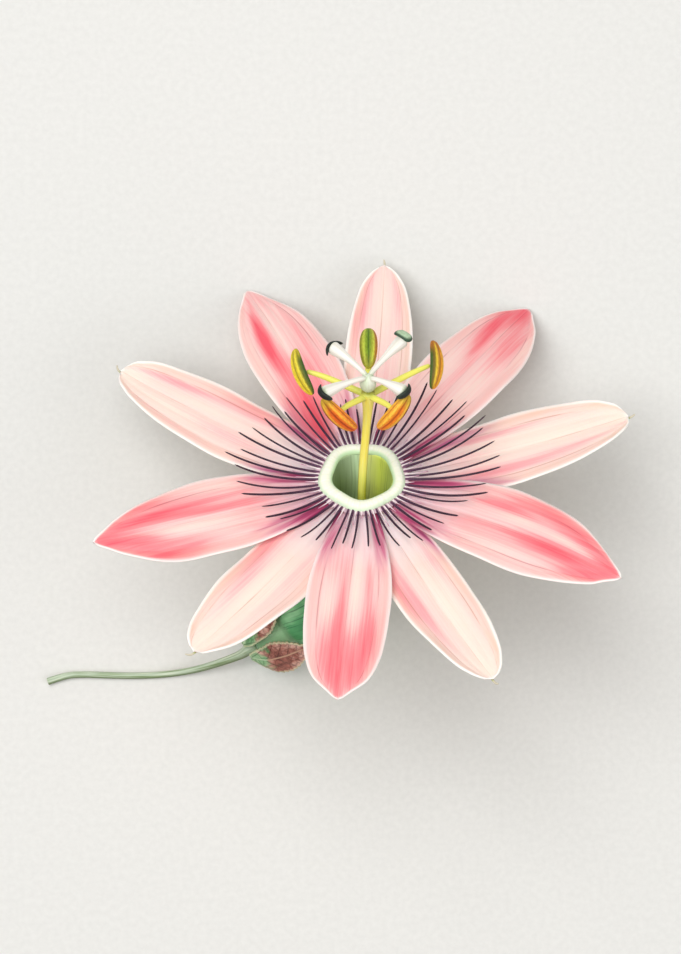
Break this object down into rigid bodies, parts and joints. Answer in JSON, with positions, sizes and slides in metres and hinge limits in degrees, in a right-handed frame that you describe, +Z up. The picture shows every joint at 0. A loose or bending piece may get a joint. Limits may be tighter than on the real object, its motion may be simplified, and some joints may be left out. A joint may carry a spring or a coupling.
{
  "type": "passion flower",
  "caption": "Open pink passion flower of the banana kind, picked with its calyx tube, bracts and stalk and laid down, with a dark thread corona and a tall stamen column.",
  "frame": {"origin": "middle of the flower's box on the surface it lies on", "axes": "+Z up from the surface; +X along the longer side of the box, away from the cut end of the stalk; +Y the way the open face leans"},
  "size_m": [0.1118, 0.0822, 0.0702],
  "materials": {
    "sepal": "matt, waxy inside, greenish behind",
    "petal": "matt, softly veined",
    "calyx_tube": "satin, ribbed lengthwise",
    "bract": "matt, netted veins, red-brown tip",
    "peduncle": "satin",
    "corona_ring": "satin, fleshy",
    "corona_threads": "matt, near black violet",
    "column": "satin",
    "anther": "powdery, pollen on the face",
    "ovary": "satin",
    "style": "satin, slightly clear",
    "stigma": "moist"
  },
  "bodies": {
    "root": {"peduncle": "peduncle", "bract_1": "bract", "bract_2": "bract", "bract_3": "bract", "calyx_tube": "calyx_tube", "sepal_1": "sepal", "sepal_2": "sepal", "sepal_3": "sepal", "sepal_4": "sepal", "sepal_5": "sepal", "petal_1": "petal", "petal_2": "petal", "petal_3": "petal", "petal_4": "petal", "petal_5": "petal", "corona_ring": "corona_ring", "corona_threads": "corona_threads", "androgynophore": "column", "anther_1": "anther", "anther_2": "anther", "anther_3": "anther", "anther_4": "anther", "anther_5": "anther", "ovary": "ovary", "style_1": "style", "style_2": "style", "style_3": "style", "style_4": "style", "stigma_1": "stigma", "stigma_2": "stigma", "stigma_3": "stigma", "stigma_4": "stigma"}
  },
  "joints": []
}
